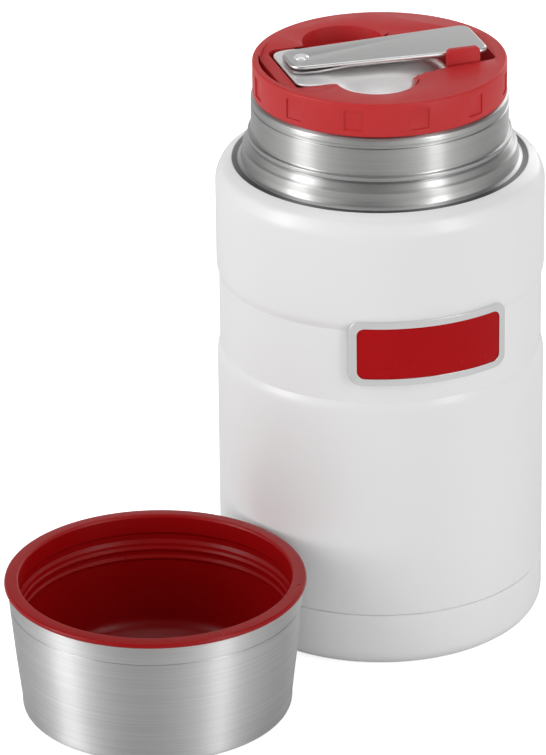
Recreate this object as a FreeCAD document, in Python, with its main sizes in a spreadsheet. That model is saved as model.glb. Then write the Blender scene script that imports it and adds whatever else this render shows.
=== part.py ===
"""Insulated food jar with a screw stopper, a folding spoon and a cup that serves as a bowl.

Millimetres, +Z up.  The origin is on the jar's axis in the plane it stands on.  The badge faces -Y,
the stowed spoon lies along +X in the top of the stopper, and the cup stands beside the jar.
"""
import FreeCAD
import Part
import Sketcher
import math
import os
import re

doc = FreeCAD.newDocument("food_jar")
V = FreeCAD.Vector

# Driving sizes, in millimetres unless the comment says degrees or a count
SIZES = {
    # jar body, outer shell
    "body_radius": 52.0,
    "waist_depth": 2.2,
    "shell_wall": 0.8,
    "seam_height": 19.2,
    "seam_bevel": 0.3,
    "base_corner": 8.0,
    "lower_height": 71.3,
    "waist_curve": 7.4,
    "waist_height": 14.7,
    "band_height": 30.1,
    "shoulder_rise": 5.5,
    "shoulder_inset": 5.4,
    "shoulder_bulge": 0.6,
    # base
    "pad_inset": 14.3,
    "pad_depth": 1.4,
    "pad_gap": 0.3,
    "dimple_radius": 6.0,
    "dimple_rise": 2.0,
    "seal_radius": 1.5,
    "seal_bead": 3.0,
    "getter_radius": 3.5,
    "getter_thick": 1.5,
    "getter_reach": 20.0,
    # bare steel neck
    "neck_inset": 11.5,
    "paint_edge": 0.3,
    "ledge_out": 4.5,
    "cove_out": 3.0,
    "cove_rise": 1.8,
    "step_out": 2.6,
    "step_rise": 3.4,
    "bead_out": 1.1,
    "bead_rise": 2.6,
    "bead_thick": 1.9,
    "neck_groove": 0.4,
    "neck_straight": 8.5,
    "groove_width": 1.3,
    "lip_taper": 0.8,
    "lip_rise": 2.3,
    # inner vessel
    "mouth_inset": 2.0,
    "vacuum_gap": 10.5,
    "vessel_wall": 0.7,
    "vessel_corner": 10.0,
    "vessel_floor": 13.0,
    "throat_depth": 27.4,
    "throat_flare": 6.5,
    "foil_gap": 0.15,
    "foil_thick": 0.2,
    "foil_margin": 2.5,
    # badge
    "badge_half_width": 25.6,
    "badge_rise": 1.9,
    "badge_overlap": 1.2,
    "badge_corner": 3.5,
    "badge_proud": 1.1,
    "badge_frame": 2.2,
    "badge_sink": 0.9,
    "plate_thick": 0.6,
    # stopper
    "stopper_inset": 0.6,
    "stopper_seat": 0.2,
    "stopper_height": 10.9,
    "stopper_edge": 0.7,
    "deck_thick": 1.6,
    "recess_depth": 6.6,
    "plug_gap": 0.6,
    "plug_depth": 20.4,
    "plug_wall": 2.8,
    "plug_floor": 1.8,
    "plug_bevel": 1.5,
    "tenon_step": 1.5,
    "tenon_gap": 0.2,
    "foam_gap": 0.3,
    "gasket_rise": 3.5,
    "gasket_height": 3.0,
    "gasket_gap": 0.3,
    "gasket_lip": 0.7,
    # folding spoon
    "spoon_thick": 0.9,
    "rivet_inset": 14.3,
    "bowl_margin": 3.6,
    "bowl_half_width": 16.0,
    "bowl_depth": 5.2,
    "neck_reach": 5.6,
    "neck_half": 13.6,
    "neck_corner": 5.0,
    "handle_gap": 0.3,
    "leaf_thick": 0.95,
    "leaf_gap": 0.9,
    "leaf_joint": 12.0,
    "handle_reach": 5.0,
    "handle_margin": 1.8,
    "handle_left_half": 7.5,
    "handle_right_half": 11.1,
    "handle_left_corner": 4.5,
    "handle_right_corner": 3.5,
    "rivet_radius": 1.6,
    "rivet_head": 2.4,
    "rivet_head_thick": 0.7,
    "rivet_clear": 0.05,
    "washer_rim": 1.2,
    # recess, scoops, thumb slot and clip in the stopper's top
    "recess_margin": 0.6,
    "recess_rim": 5.5,
    "recess_taper": 1.6,
    "recess_end": 1.7,
    "taper_start": 23.4,
    "taper_stop": 17.4,
    "recess_corner": 2.5,
    "scoop_x": 6.4,
    "scoop_y": 17.0,
    "scoop_radius": 13.1,
    "scoop_depth": 5.2,
    "slot_rim": 2.0,
    "slot_width": 2.7,
    "slot_depth": 4.6,
    "ramp_start": 2.2,
    "ramp_drop": 1.4,
    "ramp_overrun": 0.5,
    "clip_inset": 5.6,
    "clip_width": 10.8,
    "clip_thick": 1.6,
    "clip_gap": 0.35,
    "clip_rise": 1.6,
    "clip_corner": 1.5,
    "grip_count": 12,
    "grip_width": 6.0,
    "grip_height": 6.4,
    "grip_depth": 0.5,
    # cup
    "cup_gap": 1.76,
    "cup_bearing": 27.68,  # degrees from the jar's -X side, towards the badge
    "cup_inset": 4.8,
    "cup_rim_width": 4.6,
    "cup_rim_thick": 1.8,
    "cup_rim_overhang": 1.0,
    "cup_lip_rise": 8.0,
    "cup_seam_inset": 1.5,
    "cup_seam_rise": 17.2,
    "cup_mid_inset": 3.1,
    "cup_mid_rise": 14.0,
    "cup_low_inset": 4.7,
    "cup_corner": 5.0,
    "cup_wall": 0.6,
    "cup_foot_inset": 9.5,
    "cup_foot_rise": 1.2,
    "liner_gap": 0.1,
    "liner_wall": 1.5,
    "liner_ridge": 0.5,
    "ridge_drop": 4.6,
    "ridge_pitch": 2.8,
}

# Sizes that follow the driving ones.  The heights are stacked from the base up and the radii go in
# from the jar's own, so that the pieces keep together when one driving size is changed.
FOLLOWERS = {
    # jar body, outer shell
    "waist_radius": "body_radius - waist_depth",
    "lower_top": "seam_height + lower_height",
    "waist_bottom": "lower_top + waist_curve",
    "waist_top": "waist_bottom + waist_height",
    "band_bottom": "waist_top + waist_curve",
    "band_top": "band_bottom + band_height",
    "shoulder_radius": "body_radius - shoulder_inset",
    "shoulder_height": "band_top + shoulder_rise",
    # base
    "pad_radius": "body_radius - pad_inset",
    # bare steel neck
    "neck_radius": "body_radius - neck_inset",
    "ledge_radius": "neck_radius + ledge_out",
    "cove_radius": "neck_radius + cove_out",
    "cove_height": "shoulder_height + cove_rise",
    "step_radius": "neck_radius + step_out",
    "step_height": "cove_height + step_rise",
    "bead_radius": "neck_radius + bead_out",
    "bead_bottom": "step_height + bead_rise",
    "bead_top": "bead_bottom + bead_thick",
    "neck_top": "bead_top + neck_straight",
    "lip_bottom": "neck_top + groove_width",
    "lip_radius": "neck_radius - lip_taper",
    "lip_height": "lip_bottom + lip_rise",
    # inner vessel
    "mouth_radius": "neck_radius - mouth_inset",
    "vessel_radius": "body_radius - vacuum_gap",
    "throat_top": "lip_height - throat_depth",
    "throat_bottom": "throat_top - throat_flare",
    "foil_bottom": "vessel_floor + vessel_corner + foil_margin",
    "foil_top": "throat_bottom - foil_margin",
    # badge
    "badge_bottom": "waist_bottom + badge_rise",
    "badge_top": "band_bottom + badge_overlap",
    "badge_radius": "body_radius + badge_proud",
    # stopper
    "stopper_radius": "neck_radius - stopper_inset",
    "stopper_top_height": "lip_height + stopper_seat + stopper_height",
    "plug_radius": "mouth_radius - plug_gap",
    "plug_bottom": "lip_height - plug_depth",
    "plug_tenon": "plug_radius - tenon_step",
    "gasket_groove": "plug_radius - tenon_step",
    "gasket_bottom": "plug_bottom + gasket_rise",
    # folding spoon
    "spoon_top": "stopper_top_height",
    "rivet_x": "stopper_radius - rivet_inset",
    "bowl_half_length": "rivet_x - bowl_margin",
    "neck_end": "rivet_x + neck_reach",
    "handle_left": "rivet_x + handle_reach",
    "handle_right": "recess_right - handle_margin",
    # recess, scoops, thumb slot and clip in the stopper's top
    "recess_left": "neck_end + recess_margin",
    "recess_right": "stopper_radius - recess_rim",
    "recess_half": "bowl_half_width + recess_margin",
    "recess_taper_half": "recess_half - recess_taper",
    "recess_end_half": "handle_right_half + recess_end",
    "recess_neck_x": "recess_right - taper_start",
    "recess_taper_x": "recess_right - taper_stop",
    "slot_radius": "stopper_radius - slot_rim",
    "slot_chord": "slot_radius - slot_width",
    "ramp_crest": "recess_left - ramp_start",
    "clip_right": "recess_right - clip_inset",
    "clip_left": "clip_right - clip_width",
    # cup
    "cup_rim_radius": "body_radius - cup_inset",
    "cup_reach": "body_radius + cup_rim_radius + cup_gap",
    "cup_rim_inner": "cup_rim_radius - cup_rim_width",
    "cup_top_radius": "cup_rim_radius - cup_rim_overhang",
    "cup_low": "cup_corner",
    "cup_low_radius": "cup_rim_radius - cup_low_inset",
    "cup_mid": "cup_low + cup_mid_rise",
    "cup_mid_radius": "cup_rim_radius - cup_mid_inset",
    "cup_seam": "cup_mid + cup_seam_rise",
    "cup_seam_radius": "cup_rim_radius - cup_seam_inset",
    "cup_height": "cup_seam + cup_lip_rise",
    "cup_foot_radius": "cup_low_radius - cup_foot_inset",
    "ridge_one": "cup_seam - ridge_drop",
    "ridge_two": "ridge_one - ridge_pitch",
}

sizes = doc.addObject("Spreadsheet::Sheet", "sizes")
for row, (alias, size) in enumerate(SIZES.items(), start=1):
    sizes.set("A%d" % row, alias)
    sizes.set("B%d" % row, repr(size))
    sizes.setAlias("B%d" % row, alias)
doc.recompute()


def any_of(names):
    return re.compile(r"\b(" + "|".join(sorted(names, key=len, reverse=True)) + r")\b")


ALIAS = any_of(SIZES)
FOLLOWER = any_of(FOLLOWERS)
STOPPER_BOTTOM = "(lip_height + stopper_seat)"
RECESS_FLOOR = "(stopper_top_height - recess_depth)"
DECK_BOTTOM = "(stopper_top_height - recess_depth - deck_thick)"
HANDLE_BOTTOM = "(spoon_top + handle_gap)"
HANDLE_TOP = "(spoon_top + handle_gap + 2 * leaf_thick + leaf_gap)"
PLATE_TOP = "(pad_depth + shell_wall)"
CLIP_FACE = ("(handle_left_half + (handle_right_half - handle_left_half)"
             " * (clip_right + handle_left) / (handle_right + handle_left) + clip_gap)")
COVE = 1 - math.sqrt(0.5)  # how far a quarter round stays inside its corner, as a share of its radius


def spelled_out(text):
    """An expression in which every following size is written in the driving sizes."""
    text = str(text)
    while FOLLOWER.search(text):
        text = FOLLOWER.sub(lambda found: "(%s)" % FOLLOWERS[found.group(1)], text)
    return text


def bound(text):
    """An expression on the sheet's aliases, as another object of the document writes it."""
    return ALIAS.sub(r"sizes.\1", spelled_out(text))


def number(text):
    """The value that an expression has now."""
    return float(sizes.evalExpression(spelled_out(text)))


def bind(thing, prop, text):
    thing.setExpression(prop, bound(text))


def new_body(name):
    body = doc.addObject("PartDesign::Body", name)
    body.Label = name
    return body


def new_sketch(body, name, role, offset=None):
    """A sketch on one of the body's own origin planes, moved along its normal by offset."""
    sketch = body.newObject("Sketcher::SketchObject", name)
    plane = [f for f in body.Origin.OriginFeatures if f.Role == role][0]
    sketch.AttachmentSupport = [(plane, "")]
    sketch.MapMode = "FlatFace"
    if offset is not None:
        bind(sketch, "AttachmentOffset.Base.z", offset)
    return sketch


def dimension(sketch, kind, geo, pos, text):
    """Hold one coordinate of a point at an expression, measured from the sketch's origin."""
    size = number(text)
    if abs(size) < 1e-9:
        axis = -2 if kind == "DistanceX" else -1
        sketch.addConstraint(Sketcher.Constraint("PointOnObject", geo, pos, axis))
        return
    if size > 0:
        index = sketch.addConstraint(Sketcher.Constraint(kind, -1, 1, geo, pos, size))
        bind(sketch, "Constraints[%d]" % index, text)
    else:
        index = sketch.addConstraint(Sketcher.Constraint(kind, geo, pos, -1, 1, -size))
        bind(sketch, "Constraints[%d]" % index, "-(%s)" % text)


def pin(sketch, geo, pos, point):
    dimension(sketch, "DistanceX", geo, pos, point[0])
    dimension(sketch, "DistanceY", geo, pos, point[1])


def place(point):
    return V(number(point[0]), number(point[1]), 0)


def outline(sketch, points):
    """A closed outline.  A point with a second pair is reached by an arc through that pair."""
    ends = []
    for index, point in enumerate(points):
        before = points[index - 1]
        start = place(before)
        end = place(point)
        if len(point) == 4:
            via = point[2:]
            geo = sketch.addGeometry(Part.Arc(start, place(via), end))
            through = sketch.addGeometry(Part.Point(place(via)), True)
            pin(sketch, through, 1, via)
            forward = (sketch.getPoint(geo, 1) - start).Length < (sketch.getPoint(geo, 2) - start).Length
            first, last = (1, 2) if forward else (2, 1)
            ends.append((geo, first, last))
            sketch.addConstraint(Sketcher.Constraint("PointOnObject", through, 1, geo))
        else:
            geo = sketch.addGeometry(Part.LineSegment(start, end))
            ends.append((geo, 1, 2))
    for index, point in enumerate(points):
        geo, _, last = ends[index]
        following, first, _ = ends[(index + 1) % len(points)]
        sketch.addConstraint(Sketcher.Constraint("Coincident", geo, last, following, first))
        pin(sketch, geo, last, point)


def circle(sketch, centre, radius):
    geo = sketch.addGeometry(Part.Circle(place(centre), V(0, 0, 1), number(radius)))
    pin(sketch, geo, 3, centre)
    index = sketch.addConstraint(Sketcher.Constraint("Radius", geo, number(radius)))
    bind(sketch, "Constraints[%d]" % index, radius)


def box_outline(sketch, low, high):
    outline(sketch, [low, (high[0], low[1]), high, (low[0], high[1])])


def turned(body, name, points):
    """A revolution about the body's Z axis of an outline given as (radius, height)."""
    sketch = new_sketch(body, name + "_profile", "XZ_Plane")
    outline(sketch, points)
    turn = body.newObject("PartDesign::Revolution", name)
    turn.Profile = sketch
    turn.ReferenceAxis = (sketch, ["V_Axis"])
    turn.Angle = 360
    doc.recompute()
    return turn


def pad(body, sketch, name, length):
    feature = body.newObject("PartDesign::Pad", name)
    feature.Profile = sketch
    bind(feature, "Length", length)
    doc.recompute()
    return feature


def pocket(body, sketch, name, length, upward=False, both=False):
    """Cut a sketch into the body and make sure that it took something away."""
    before = body.Shape.Volume
    feature = body.newObject("PartDesign::Pocket", name)
    feature.Profile = sketch
    bind(feature, "Length", length)
    feature.Reversed = upward
    feature.Midplane = both
    doc.recompute()
    if body.Shape.isNull() or not 0 < body.Shape.Volume < before - 1e-3:
        raise RuntimeError("%s cuts nothing" % name)
    return feature


def fillet(body, name, radius, wanted):
    """Round the edges of the body's tip that wanted(edge) picks out."""
    base = body.Tip
    names = []
    for index, edge in enumerate(base.Shape.Edges, start=1):
        if wanted(edge):
            names.append("Edge%d" % index)
    feature = body.newObject("PartDesign::Fillet", name)
    feature.Base = (base, names)
    bind(feature, "Radius", radius)
    doc.recompute()
    return feature


def upright_at(corners):
    """Picks the edges parallel to Z that stand on one of the (x, y) corners."""
    spots = [place(corner) for corner in corners]

    def wanted(edge):
        box = edge.BoundBox
        if box.XLength > 1e-4 or box.YLength > 1e-4:
            return False
        return any(math.hypot(box.XMin - s.x, box.YMin - s.y) < 1e-3 for s in spots)
    return wanted


def quarter(corner_radius, corner_height, radius):
    """The middle of a quarter round at a corner, for a round of the given radius."""
    share = "%r * (%s)" % (COVE, radius)
    return ("%s - %s" % (corner_radius, share), "%s + %s" % (corner_height, share))


# Jar: painted outer shell, base and bare neck
def outer_shell():
    body = new_body("outer_shell")
    curve = "(body_radius - waist_radius)"
    turned(body, "shell_wall_form", [
        ("body_radius - shell_wall", "seam_height"),
        ("body_radius - seam_bevel", "seam_height"),
        ("body_radius", "seam_height + seam_bevel"),
        ("body_radius", "lower_top"),
        ("waist_radius", "waist_bottom",
         "body_radius - 0.255 * " + curve, "lower_top + 0.52 * (waist_bottom - lower_top)"),
        ("waist_radius", "waist_top"),
        ("body_radius", "band_bottom",
         "body_radius - 0.255 * " + curve, "band_bottom - 0.52 * (band_bottom - waist_top)"),
        ("body_radius", "band_top"),
        ("shoulder_radius", "shoulder_height",
         "(body_radius + shoulder_radius) / 2 + shoulder_bulge",
         "(band_top + shoulder_height) / 2 + shoulder_bulge"),
        ("shoulder_radius", "shoulder_height - 1.25 * shell_wall"),
        ("body_radius - shell_wall", "band_top - 0.4 * shell_wall"),
        ("body_radius - shell_wall", "band_bottom + 0.4 * shell_wall"),
        ("waist_radius - shell_wall", "waist_top - 0.4 * shell_wall"),
        ("waist_radius - shell_wall", "waist_bottom + 0.4 * shell_wall"),
        ("body_radius - shell_wall", "lower_top - 0.4 * shell_wall"),
    ])
    return body


def base_pan():
    body = new_body("base_pan")
    inside = "(base_corner - shell_wall)"
    turned(body, "pan_form", [
        ("body_radius - shell_wall", "seam_height"),
        ("body_radius - shell_wall", "base_corner"),
        ("body_radius - base_corner", "shell_wall")
        + quarter("(body_radius - shell_wall)", "shell_wall", inside),
        ("pad_radius + pad_gap + shell_wall", "shell_wall"),
        ("pad_radius + pad_gap + shell_wall", PLATE_TOP),
        ("dimple_radius + 0.4 * shell_wall", PLATE_TOP),
        ("dimple_radius - dimple_rise + 0.4 * shell_wall", PLATE_TOP + " + dimple_rise"),
        ("seal_radius", PLATE_TOP + " + dimple_rise"),
        ("seal_radius", "pad_depth + dimple_rise"),
        ("dimple_radius - dimple_rise", "pad_depth + dimple_rise"),
        ("dimple_radius", "pad_depth"),
        ("pad_radius + pad_gap", "pad_depth"),
        ("pad_radius + pad_gap", "0"),
        ("body_radius - base_corner", "0"),
        ("body_radius", "base_corner") + quarter("body_radius", "0", "base_corner"),
        ("body_radius", "seam_height - seam_bevel"),
        ("body_radius - seam_bevel", "seam_height"),
    ])
    return body


def base_pad():
    body = new_body("base_pad")
    sketch = new_sketch(body, "pad_outline", "XY_Plane")
    circle(sketch, ("0", "0"), "pad_radius")
    pad(body, sketch, "pad_form", "pad_depth")
    return body


def evacuation_seal():
    body = new_body("evacuation_seal")
    under = "(pad_depth + dimple_rise)"
    turned(body, "seal_form", [
        ("0", under + " - 0.35 * seal_bead"),
        ("0.6 * seal_bead", under + " - 0.3 * seal_bead"),
        ("seal_bead", under),
        ("seal_radius", under),
        ("seal_radius", under + " + shell_wall"),
        ("0", under + " + shell_wall"),
    ])
    return body


def getter():
    body = new_body("getter")
    sketch = new_sketch(body, "getter_outline", "XY_Plane", PLATE_TOP)
    circle(sketch, ("getter_reach", "0"), "getter_radius")
    pad(body, sketch, "getter_form", "getter_thick")
    return body


def neck_collar():
    body = new_body("neck_collar")
    turned(body, "collar_form", [
        ("shoulder_radius", "shoulder_height - 1.25 * shell_wall"),
        ("shoulder_radius", "shoulder_height - paint_edge"),
        ("ledge_radius", "shoulder_height - paint_edge + 0.1"),
        ("cove_radius", "cove_height",
         "cove_radius + 0.3 * (ledge_radius - cove_radius)",
         "cove_height - 0.7 * (cove_height - shoulder_height + paint_edge)"),
        ("step_radius", "step_height"),
        ("bead_radius - 0.5", "bead_bottom"),
        ("bead_radius", "bead_bottom + 0.3"),
        ("bead_radius", "bead_top - 0.4"),
        ("neck_radius", "bead_top"),
        ("neck_radius", "neck_top"),
        ("neck_radius - neck_groove", "neck_top + neck_groove"),
        ("neck_radius - neck_groove", "lip_bottom - neck_groove"),
        ("neck_radius", "lip_bottom"),
        ("lip_radius", "lip_height"),
        ("mouth_radius + vessel_wall", "lip_height"),
        ("mouth_radius + vessel_wall", "lip_height - 1.2"),
        ("neck_radius - shell_wall - 0.4", "lip_height - 2.0"),
        ("neck_radius - shell_wall - 0.4", "bead_top - 0.6"),
        ("bead_radius - shell_wall - 0.5", "bead_bottom - 0.8"),
        ("step_radius - shell_wall", "step_height - 0.6"),
        ("cove_radius - shell_wall", "cove_height - 0.4"),
        ("ledge_radius - 0.6", "shoulder_height - 1.25 * shell_wall"),
    ])
    return body


def inner_vessel():
    body = new_body("inner_vessel")
    skin = "(vessel_radius + vessel_wall)"
    turned(body, "vessel_form", [
        ("mouth_radius", "lip_height"),
        ("mouth_radius", "throat_top"),
        ("vessel_radius", "throat_bottom"),
        ("vessel_radius", "vessel_floor + vessel_corner"),
        ("vessel_radius - vessel_corner", "vessel_floor")
        + quarter("vessel_radius", "vessel_floor", "vessel_corner"),
        ("0", "vessel_floor"),
        ("0", "vessel_floor - vessel_wall"),
        ("vessel_radius - vessel_corner", "vessel_floor - vessel_wall"),
        (skin, "vessel_floor + vessel_corner")
        + quarter(skin, "(vessel_floor - vessel_wall)", "vessel_corner + vessel_wall"),
        (skin, "throat_bottom + 0.4 * vessel_wall"),
        ("mouth_radius + vessel_wall", "throat_top + 0.4 * vessel_wall"),
        ("mouth_radius + vessel_wall", "lip_height"),
    ])
    return body


def radiation_foil():
    body = new_body("radiation_foil")
    inside = "(vessel_radius + vessel_wall + foil_gap)"
    turned(body, "foil_form", [
        (inside, "foil_bottom"),
        (inside + " + foil_thick", "foil_bottom"),
        (inside + " + foil_thick", "foil_top"),
        (inside, "foil_top"),
    ])
    return body


# Badge: a bezel that fills the waist and stands a little over the band, with a plate let into it
def upright_sketch(name):
    """A sketch of its own in the XZ plane, for a piece that is not a body."""
    sketch = doc.addObject("Sketcher::SketchObject", name)
    sketch.Placement = FreeCAD.Placement(V(0, 0, 0), FreeCAD.Rotation(V(1, 0, 0), 90))
    return sketch


def wrapped(name, profile, inset, corner):
    """The turned profile (radius, height), kept only inside a rounded window on the -Y side."""
    section = upright_sketch(name + "_profile")
    outline(section, profile)
    ring = doc.addObject("Part::Revolution", name + "_ring")
    ring.Source = section
    ring.Axis = V(0, 0, 1)
    ring.Angle = 360
    ring.Solid = True
    window = upright_sketch(name + "_window")
    wide = "(badge_half_width - (%s))" % inset
    low = "(badge_bottom + (%s))" % inset
    high = "(badge_top - (%s))" % inset
    share = "%r * (%s)" % (COVE, corner)
    outline(window, [
        ("-" + wide, "%s + (%s)" % (low, corner)),
        ("-%s + (%s)" % (wide, corner), low, "-%s + %s" % (wide, share), "%s + %s" % (low, share)),
        ("%s - (%s)" % (wide, corner), low),
        (wide, "%s + (%s)" % (low, corner), "%s - %s" % (wide, share), "%s + %s" % (low, share)),
        (wide, "%s - (%s)" % (high, corner)),
        ("%s - (%s)" % (wide, corner), high, "%s - %s" % (wide, share), "%s - %s" % (high, share)),
        ("-%s + (%s)" % (wide, corner), high),
        ("-" + wide, "%s - (%s)" % (high, corner),
         "-%s + %s" % (wide, share), "%s - %s" % (high, share)),
    ])
    block = doc.addObject("Part::Extrusion", name + "_block")
    block.Base = window
    block.DirMode = "Custom"
    block.Dir = V(0, -1, 0)
    bind(block, "LengthFwd", "badge_radius + 5")
    block.Solid = True
    common = doc.addObject("Part::Common", name)
    common.Base = ring
    common.Tool = block
    common.Label = name
    doc.recompute()
    return common


def badge_bezel():
    full = wrapped("bezel_full", [
        ("waist_radius", "badge_bottom - 1"),
        ("badge_radius", "badge_bottom - 1"),
        ("badge_radius", "badge_top + 1"),
        ("body_radius + 0.05", "badge_top + 1"),
        ("body_radius + 0.05", "band_bottom"),
        ("waist_radius", "waist_top - 0.4",
         "body_radius + 0.1 - 0.255 * (body_radius - waist_radius)",
         "band_bottom - 0.52 * (band_bottom - waist_top)"),
    ], "0", "badge_corner")
    field = wrapped("bezel_field", [
        ("badge_radius - badge_sink", "badge_bottom - 1"),
        ("badge_radius + 1", "badge_bottom - 1"),
        ("badge_radius + 1", "badge_top + 1"),
        ("badge_radius - badge_sink", "badge_top + 1"),
    ], "badge_frame", "badge_corner - badge_frame / 2")
    cut = doc.addObject("Part::Cut", "badge_bezel")
    cut.Base = full
    cut.Tool = field
    doc.recompute()
    return cut


def badge_plate():
    back = "badge_radius - badge_sink"
    return wrapped("badge_plate", [
        (back, "badge_bottom - 1"),
        (back + " + plate_thick", "badge_bottom - 1"),
        (back + " + plate_thick", "badge_top + 1"),
        (back, "badge_top + 1"),
    ], "badge_frame + 0.05", "badge_corner - badge_frame / 2")


# Stopper: the red moulding with the spoon's recess, and the insulated plug under it
def stopper_top():
    body = new_body("stopper_top")
    turned(body, "cap_form", [
        ("0", DECK_BOTTOM),
        ("plug_tenon + tenon_gap", DECK_BOTTOM),
        ("plug_tenon + tenon_gap", STOPPER_BOTTOM),
        ("stopper_radius - 0.3", STOPPER_BOTTOM),
        ("stopper_radius", STOPPER_BOTTOM + " + 0.3"),
        ("stopper_radius", "stopper_top_height - stopper_edge"),
        ("stopper_radius - stopper_edge", "stopper_top_height",
         "stopper_radius - %r * stopper_edge" % COVE, "stopper_top_height - %r * stopper_edge" % COVE),
        ("0", "stopper_top_height"),
    ])
    recess = new_sketch(body, "recess_plan", "XY_Plane", "stopper_top_height")
    outline(recess, [
        ("-recess_left", "-recess_half"),
        ("recess_neck_x", "-recess_half"),
        ("recess_taper_x", "-recess_taper_half"),
        ("recess_right", "-recess_end_half"),
        ("recess_right", "recess_end_half"),
        ("recess_taper_x", "recess_taper_half"),
        ("recess_neck_x", "recess_half"),
        ("-recess_left", "recess_half"),
    ])
    pocket(body, recess, "spoon_recess", "recess_depth")
    fillet(body, "recess_corners", "recess_corner", upright_at([
        ("-recess_left", "-recess_half"), ("-recess_left", "recess_half"),
        ("recess_right", "-recess_end_half"), ("recess_right", "recess_end_half")]))
    scoops = new_sketch(body, "scoop_plan", "XY_Plane", "stopper_top_height")
    circle(scoops, ("-scoop_x", "-scoop_y"), "scoop_radius")
    circle(scoops, ("-scoop_x", "scoop_y"), "scoop_radius")
    pocket(body, scoops, "finger_scoops", "scoop_depth")
    slot = new_sketch(body, "slot_plan", "XY_Plane", "stopper_top_height")
    half_chord = "sqrt(slot_radius ^ 2 - slot_chord ^ 2)"
    outline(slot, [
        ("-slot_chord", half_chord),
        ("-slot_chord", "-" + half_chord, "-slot_radius", "0"),
    ])
    pocket(body, slot, "thumb_slot", "slot_depth")
    thumb_ramp(body)
    clip = new_sketch(body, "clip_front", "XZ_Plane", CLIP_FACE)
    top = "(%s + clip_rise)" % HANDLE_TOP
    share = "%r * clip_corner" % COVE
    outline(clip, [
        ("clip_left", RECESS_FLOOR),
        ("clip_right", RECESS_FLOOR),
        ("clip_right", top + " - clip_corner"),
        ("clip_right - clip_corner", top, "clip_right - " + share, top + " - " + share),
        ("clip_left + clip_corner", top),
        ("clip_left", top + " - clip_corner", "clip_left + " + share, top + " - " + share),
    ])
    pad(body, clip, "clip_post", "clip_thick")
    grip_pads(body)
    return body


def thumb_ramp(body):
    """The slope from the crest behind the spoon's end down to the thumb slot, cut from a tilted plane."""
    sketch = new_sketch(body, "ramp_plan", "XY_Plane")
    run = "(slot_chord - ramp_crest)"
    tilt = "atan(ramp_drop / %s)" % run
    sketch.AttachmentOffset = FreeCAD.Placement(V(0, 0, 0), FreeCAD.Rotation(V(0, 1, 0), -1))
    bind(sketch, "AttachmentOffset.Base.x", "-ramp_crest")
    bind(sketch, "AttachmentOffset.Base.z", "stopper_top_height")
    bind(sketch, "AttachmentOffset.Rotation.Angle", "-" + tilt)
    far = "(%s + ramp_overrun)" % run
    edge = "sqrt((slot_radius - ramp_overrun) ^ 2 - (ramp_crest + %s) ^ 2)"
    outline(sketch, [
        ("0", edge % "0"),
        ("-" + far, edge % far, "-0.5 * " + far, edge % ("0.5 * " + far)),
        ("-" + far, "-" + edge % far),
        ("0", "-" + edge % "0", "-0.5 * " + far, "-" + edge % ("0.5 * " + far)),
    ])
    pocket(body, sketch, "thumb_ramp", "2 * ramp_drop", upward=True)


def grip_pads(body):
    """The shallow pads sunk into the side, one to the front and the rest evenly round."""
    sketch = new_sketch(body, "grip_outline", "XZ_Plane", "stopper_radius + 1")
    middle = "(%s + stopper_top_height) / 2 - 0.3" % STOPPER_BOTTOM
    box_outline(sketch, ("-grip_width / 2", middle + " - grip_height / 2"),
                ("grip_width / 2", middle + " + grip_height / 2"))
    first = pocket(body, sketch, "grip_pad", "1 + grip_depth")
    pattern = body.newObject("PartDesign::PolarPattern", "grip_pads")
    pattern.Originals = [first]
    axis = [f for f in body.Origin.OriginFeatures if f.Role == "Z_Axis"][0]
    pattern.Axis = (axis, [""])
    pattern.Angle = 360
    bind(pattern, "Occurrences", "grip_count")
    body.Tip = pattern
    doc.recompute()


def stopper_plug():
    body = new_body("stopper_plug")
    inside = "(plug_radius - plug_wall)"
    turned(body, "plug_form", [
        (inside, "plug_bottom + plug_floor"),
        ("plug_radius", "plug_bottom + plug_floor"),
        ("plug_radius", "gasket_bottom - gasket_gap"),
        ("gasket_groove", "gasket_bottom - gasket_gap"),
        ("gasket_groove", "gasket_bottom + gasket_height + gasket_gap"),
        ("plug_radius", "gasket_bottom + gasket_height + gasket_gap"),
        ("plug_radius", STOPPER_BOTTOM),
        ("plug_tenon", STOPPER_BOTTOM),
        ("plug_tenon", DECK_BOTTOM),
        (inside, DECK_BOTTOM),
    ])
    return body


def plug_base():
    """The disc that is welded on under the plug once the foam is in."""
    body = new_body("plug_base")
    turned(body, "plug_base_form", [
        ("0", "plug_bottom"),
        ("plug_radius - plug_bevel", "plug_bottom"),
        ("plug_radius", "plug_bottom + plug_bevel"),
        ("plug_radius", "plug_bottom + plug_floor"),
        ("0", "plug_bottom + plug_floor"),
    ])
    return body


def stopper_foam():
    body = new_body("stopper_foam")
    sketch = new_sketch(body, "foam_outline", "XY_Plane", "plug_bottom + plug_floor + foam_gap")
    circle(sketch, ("0", "0"), "plug_radius - plug_wall - foam_gap")
    pad(body, sketch, "foam_form", DECK_BOTTOM + " - plug_bottom - plug_floor - 2 * foam_gap")
    return body


def stopper_gasket():
    body = new_body("stopper_gasket")
    inside = "(gasket_groove + gasket_gap)"
    tip = "(mouth_radius - gasket_gap)"
    root = "(%s - gasket_lip)" % tip
    turned(body, "gasket_form", [
        (inside, "gasket_bottom"),
        (root, "gasket_bottom"),
        (tip, "gasket_bottom + 0.25 * gasket_height"),
        (root, "gasket_bottom + 0.4 * gasket_height"),
        (root, "gasket_bottom + 0.6 * gasket_height"),
        (tip, "gasket_bottom + 0.75 * gasket_height"),
        (root, "gasket_bottom + gasket_height"),
        (inside, "gasket_bottom + gasket_height"),
    ])
    return body


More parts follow.
